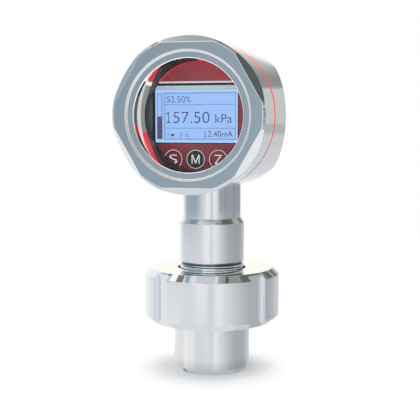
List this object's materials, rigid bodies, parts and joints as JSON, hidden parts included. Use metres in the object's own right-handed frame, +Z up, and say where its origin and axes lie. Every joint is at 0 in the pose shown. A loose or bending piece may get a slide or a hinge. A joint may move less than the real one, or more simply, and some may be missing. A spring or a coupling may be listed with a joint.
{
  "type": "pressure transmitter",
  "caption": "Pressure transmitter: round display head with a screwed window cover on a polished neck, and a slotted union nut over a weld sleeve.",
  "frame": {"origin": "centre of the weld sleeve's open lower end, where the process pipe is welded on", "axes": "+Z up along the neck to the head; the display looks along -Y"},
  "size_m": [0.0838, 0.1024, 0.1881],
  "materials": {
    "process_steel": "turned stainless steel, satin",
    "nut_steel": "bright turned stainless steel",
    "body_steel": "polished stainless steel",
    "head_steel": "fine satin stainless steel",
    "screw_steel": "bright steel",
    "contact_metal": "plated brass",
    "process_seal": "moulded rubber",
    "black_rubber": "moulded rubber",
    "red_rubber": "red silicone",
    "window_glass": "clear toughened glass",
    "display_glass": "backlit display",
    "red_label": "printed film, deep red",
    "red_key": "deep red key cap",
    "dark_key": "near-black key cap",
    "black_plastic": "moulded black plastic",
    "white_plastic": "moulded plastic",
    "circuit_board": "green solder mask",
    "lead_jacket": "insulated wire"
  },
  "bodies": {
    "sleeve": {"weld_sleeve": "process_steel", "process_seal": "process_seal"},
    "transmitter": {"process_connector": "process_steel", "isolating_diaphragm": "process_steel", "sensor_body": "body_steel", "sensor_cell": "process_steel", "cell_seal": "black_rubber", "cell_retainer": "process_steel", "cell_pins": "contact_metal", "amplifier_board": "circuit_board", "neck_tube": "body_steel", "rear_housing": "head_steel", "lcd_frame": "black_plastic", "lcd_glass": "display_glass", "label_plate": "red_label", "display_carrier": "black_plastic", "display_board": "circuit_board", "key_switches": "black_plastic", "display_pillars": "contact_metal", "display_screws": "screw_steel", "main_board": "circuit_board", "board_posts": "head_steel", "board_screws": "screw_steel", "board_components": "black_plastic", "board_header": "black_plastic", "lead_plug": "white_plastic", "sensor_lead": "lead_jacket", "terminal_block": "white_plastic", "connector_shell": "head_steel", "connector_insert": "black_plastic", "contact_pins": "contact_metal", "connector_seal": "black_rubber", "connector_nut": "screw_steel", "connector_wires": "lead_jacket"},
    "nut": {"union_nut": "nut_steel"},
    "seal_ring": {"cover_seal": "red_rubber"},
    "cover": {"front_cover": "head_steel", "window_gasket": "black_rubber", "window_glass": "window_glass", "glass_retainer": "head_steel", "window_shroud": "black_plastic"},
    "left_key": {"key_s": "red_key"},
    "middle_key": {"key_m": "dark_key"},
    "right_key": {"key_z": "red_key"}
  },
  "joints": [
    {"name": "transmitter_lift", "type": "slide", "parent": "sleeve", "child": "transmitter", "axis": [0, 0, 1], "range_m": [0, 0.01588]},
    {"name": "nut_turn", "type": "hinge", "parent": "transmitter", "child": "nut", "pos_m": [0, 0, 0.044], "axis": [0, 0, 1], "range_deg": [0, 1351]},
    {"name": "cover_travel", "type": "slide", "parent": "transmitter", "child": "seal_ring", "axis": [0, -1, 0], "range_m": [0, 0.00605]},
    {"name": "cover_turn", "type": "hinge", "parent": "seal_ring", "child": "cover", "pos_m": [0, -0.03, 0.1462], "axis": [0, -1, 0], "range_deg": [0, 1440]},
    {"name": "left_key_press", "type": "slide", "parent": "transmitter", "child": "left_key", "axis": [0, 1, 0], "range_m": [0, 0.0005], "stiffness_N_per_m": 800},
    {"name": "middle_key_press", "type": "slide", "parent": "transmitter", "child": "middle_key", "axis": [0, 1, 0], "range_m": [0, 0.0005], "stiffness_N_per_m": 800},
    {"name": "right_key_press", "type": "slide", "parent": "transmitter", "child": "right_key", "axis": [0, 1, 0], "range_m": [0, 0.0005], "stiffness_N_per_m": 800}
  ],
  "couplings": [
    {"joint": "nut_turn", "follows": "transmitter_lift", "rad_per_m": 1484.3},
    {"joint": "cover_travel", "follows": "cover_turn", "m_per_rad": 0.00023873}
  ]
}
